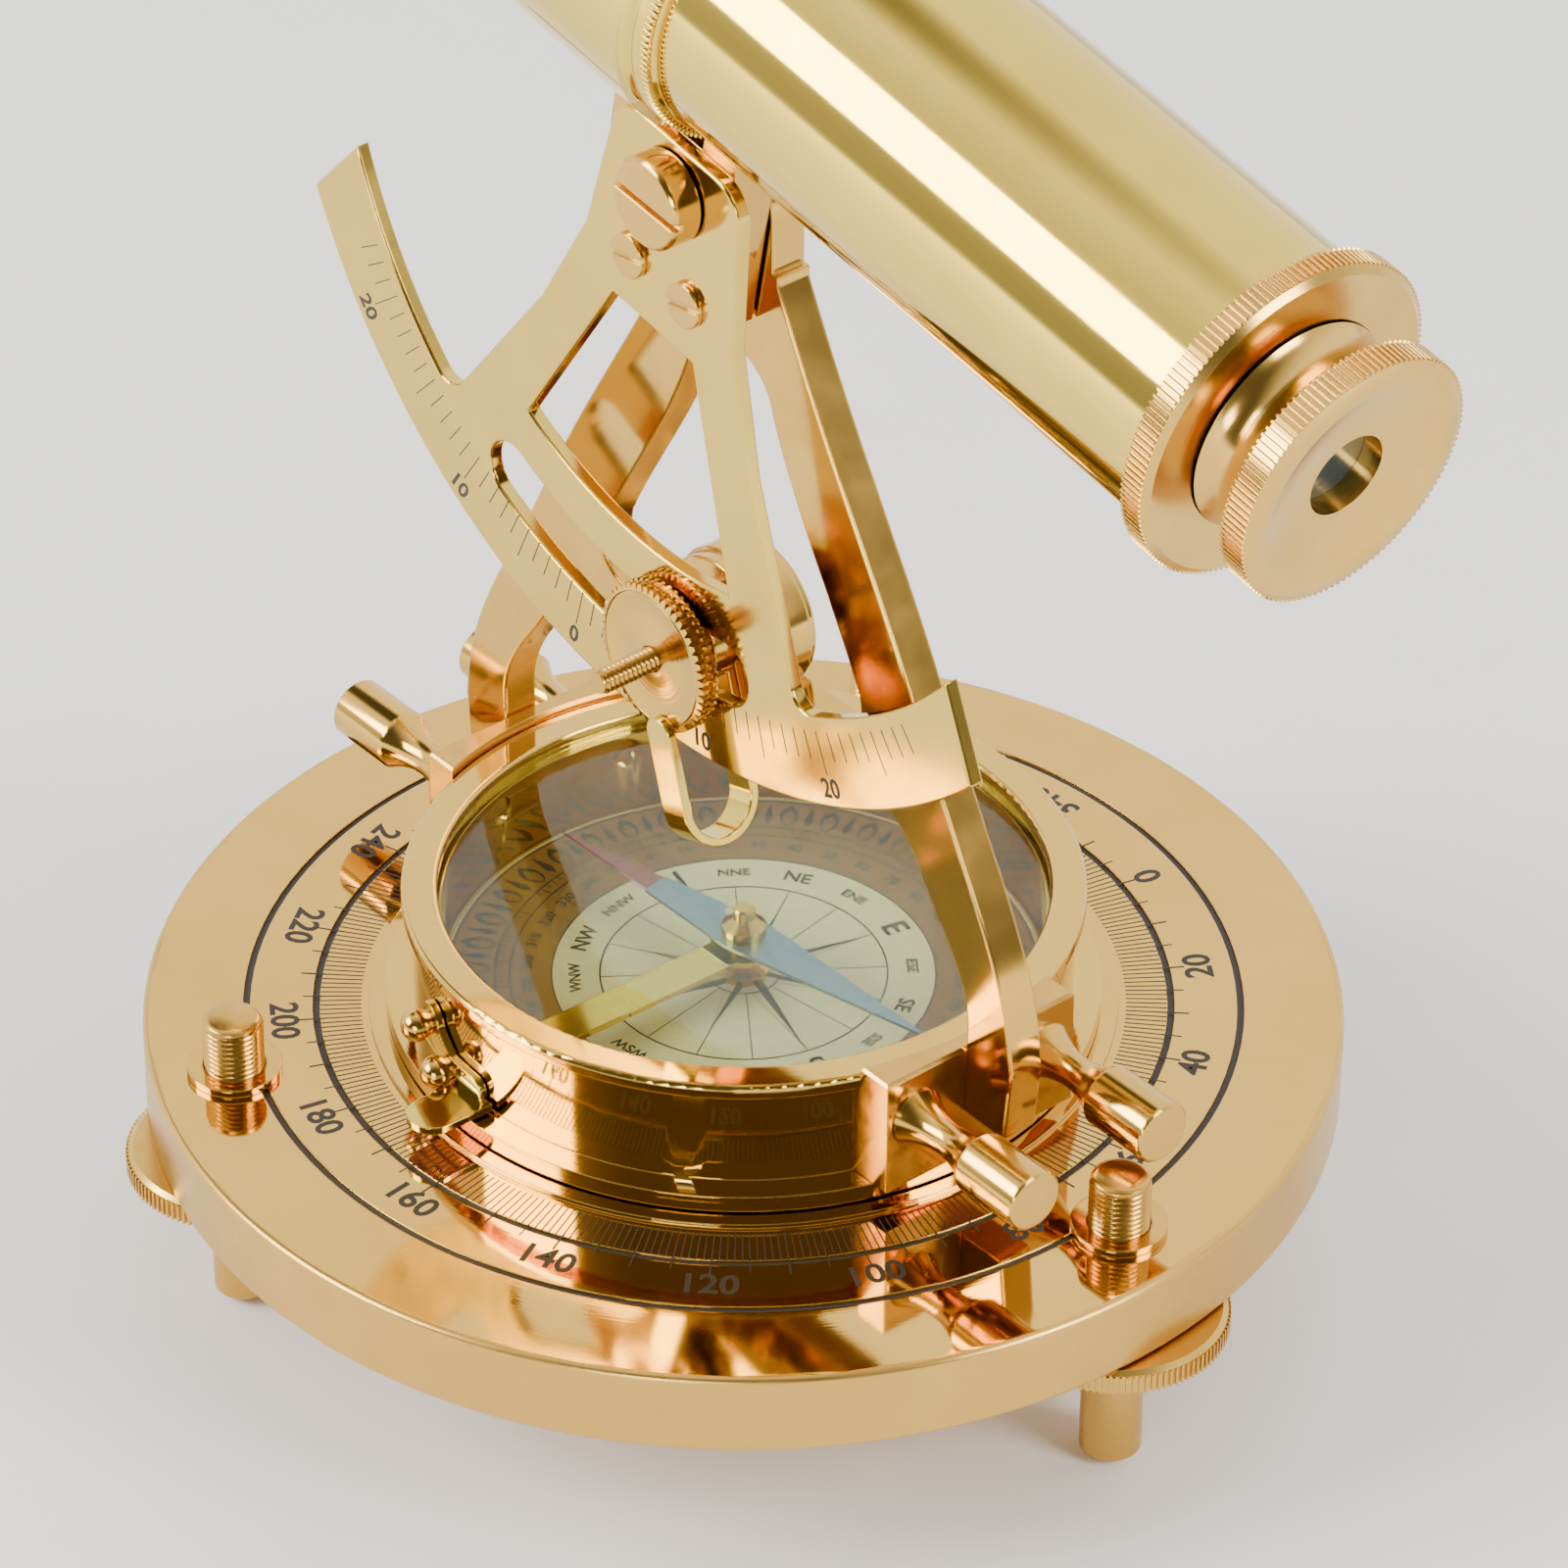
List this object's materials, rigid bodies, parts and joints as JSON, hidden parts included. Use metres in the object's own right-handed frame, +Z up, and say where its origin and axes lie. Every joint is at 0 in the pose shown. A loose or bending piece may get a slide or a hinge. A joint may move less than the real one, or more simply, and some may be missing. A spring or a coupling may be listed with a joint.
{
  "type": "nautical sextant",
  "caption": "Brass sextant with a tilting telescope and degree arc on an A-frame, turning over a glazed compass on a round base with levelling screws.",
  "frame": {"origin": "centre of the base on the ground plane, under the axis that the head turns on", "axes": "+Z up; +X towards the eyepiece end of the telescope; +Y to the back of the frame, away from the degree arc"},
  "size_m": [0.2118, 0.152, 0.223],
  "materials": {
    "black": "matt",
    "brass": "polished",
    "dial": "gloss enamel",
    "frame_brass": "polished",
    "glass": "clear",
    "needle_steel": "blued, with a dark red north tip",
    "satin_brass": "satin",
    "steel": "satin"
  },
  "bodies": {
    "base": {"base_plate": "satin_brass", "levelling_bushes": "satin_brass"},
    "head": {"needle_lifter": "frame_brass", "compass_box": "frame_brass", "compass_dial": "dial", "compass_glass": "glass", "compass_bezel": "frame_brass", "centre_washer": "satin_brass", "centre_screw": "satin_brass", "needle_pivot": "steel", "foot_block_right": "frame_brass", "foot_block_left": "frame_brass", "a_frame": "frame_brass", "pivot_bolt": "frame_brass", "pivot_nut": "frame_brass", "clamp_rod": "steel", "clamp_spacer": "frame_brass", "index_strip": "frame_brass", "arrest_pivot_screw": "frame_brass"},
    "telescope": {"arc_plate": "brass", "telescope_lug": "brass", "lug_screws": "brass", "main_tube": "brass", "front_tube": "brass", "objective_cell": "black", "objective_lens": "glass", "objective_retainer": "brass", "reticle_ring": "black", "tube_collar": "brass"},
    "eyepiece": {"draw_tube": "brass", "eye_cap": "brass", "eye_lens": "glass", "field_lens": "glass"},
    "needle": {"needle_blade": "needle_steel", "needle_cap": "frame_brass"},
    "arrest": {"arrest_lever": "frame_brass", "arrest_pin": "steel"},
    "nut": {"clamp_nut": "frame_brass"},
    "foot_1": {"levelling_foot_1": "frame_brass"},
    "screw_1": {"levelling_screw_1": "frame_brass", "levelling_wheel_1": "frame_brass"},
    "foot_2": {"levelling_foot_2": "frame_brass"},
    "screw_2": {"levelling_screw_2": "frame_brass", "levelling_wheel_2": "frame_brass"},
    "foot_3": {"levelling_foot_3": "frame_brass"},
    "screw_3": {"levelling_screw_3": "frame_brass", "levelling_wheel_3": "frame_brass"},
    "thumb_1": {"thumb_screw_1": "frame_brass"},
    "thumb_2": {"thumb_screw_2": "frame_brass"},
    "thumb_3": {"thumb_screw_3": "frame_brass"},
    "thumb_4": {"thumb_screw_4": "frame_brass"}
  },
  "joints": [
    {"name": "azimuth_turn", "type": "hinge", "parent": "base", "child": "head", "pos_m": [0, 0, 0.0353], "axis": [0, 0, 1], "continuous": true},
    {"name": "telescope_tilt", "type": "hinge", "parent": "head", "child": "telescope", "pos_m": [0, 0, 0.157], "axis": [0, 1, 0], "range_deg": [-31, 10]},
    {"name": "eyepiece_focus", "type": "slide", "parent": "telescope", "child": "eyepiece", "axis": [0.9828, 0, -0.1846], "range_m": [0, 0.012]},
    {"name": "needle_swing", "type": "hinge", "parent": "head", "child": "needle", "pos_m": [0, 0, 0.04435], "axis": [0, 0, 1], "continuous": true},
    {"name": "arrest_swing", "type": "hinge", "parent": "head", "child": "arrest", "pos_m": [-0.01052, -0.0404, 0.0445], "axis": [-0.2521, -0.9677, 0], "range_deg": [0, 12]},
    {"name": "clamp_nut_turn", "type": "hinge", "parent": "head", "child": "nut", "pos_m": [0, -0.0118, 0.093], "axis": [0, -1, 0], "range_deg": [-360, 360]},
    {"name": "levelling_travel_1", "type": "slide", "parent": "base", "child": "foot_1", "axis": [0, 0, -1], "range_m": [0, 0.008]},
    {"name": "levelling_turn_1", "type": "hinge", "parent": "foot_1", "child": "screw_1", "pos_m": [0.0653, 0.00514, 0.0203], "axis": [0, 0, -1], "range_deg": [0, 3841]},
    {"name": "levelling_travel_2", "type": "slide", "parent": "base", "child": "foot_2", "axis": [0, 0, -1], "range_m": [0, 0.008]},
    {"name": "levelling_turn_2", "type": "hinge", "parent": "foot_2", "child": "screw_2", "pos_m": [-0.0371, 0.05398, 0.0203], "axis": [0, 0, -1], "range_deg": [0, 3841]},
    {"name": "levelling_travel_3", "type": "slide", "parent": "base", "child": "foot_3", "axis": [0, 0, -1], "range_m": [0, 0.008]},
    {"name": "levelling_turn_3", "type": "hinge", "parent": "foot_3", "child": "screw_3", "pos_m": [-0.0282, -0.05912, 0.0203], "axis": [0, 0, -1], "range_deg": [0, 3841]},
    {"name": "thumb_turn_1", "type": "hinge", "parent": "head", "child": "thumb_1", "pos_m": [0.0453, 0.0103, 0.0481], "axis": [1, 0, 0], "range_deg": [-360, 360]},
    {"name": "thumb_turn_2", "type": "hinge", "parent": "head", "child": "thumb_2", "pos_m": [0.0453, -0.0103, 0.0481], "axis": [1, 0, 0], "range_deg": [-360, 360]},
    {"name": "thumb_turn_3", "type": "hinge", "parent": "head", "child": "thumb_3", "pos_m": [-0.0453, 0.0103, 0.0481], "axis": [-1, 0, 0], "range_deg": [-360, 360]},
    {"name": "thumb_turn_4", "type": "hinge", "parent": "head", "child": "thumb_4", "pos_m": [-0.0453, -0.0103, 0.0481], "axis": [-1, 0, 0], "range_deg": [-360, 360]}
  ],
  "couplings": [
    {"joint": "levelling_turn_1", "follows": "levelling_travel_1", "rad_per_m": 8377.6},
    {"joint": "levelling_turn_2", "follows": "levelling_travel_2", "rad_per_m": 8377.6},
    {"joint": "levelling_turn_3", "follows": "levelling_travel_3", "rad_per_m": 8377.6}
  ]
}
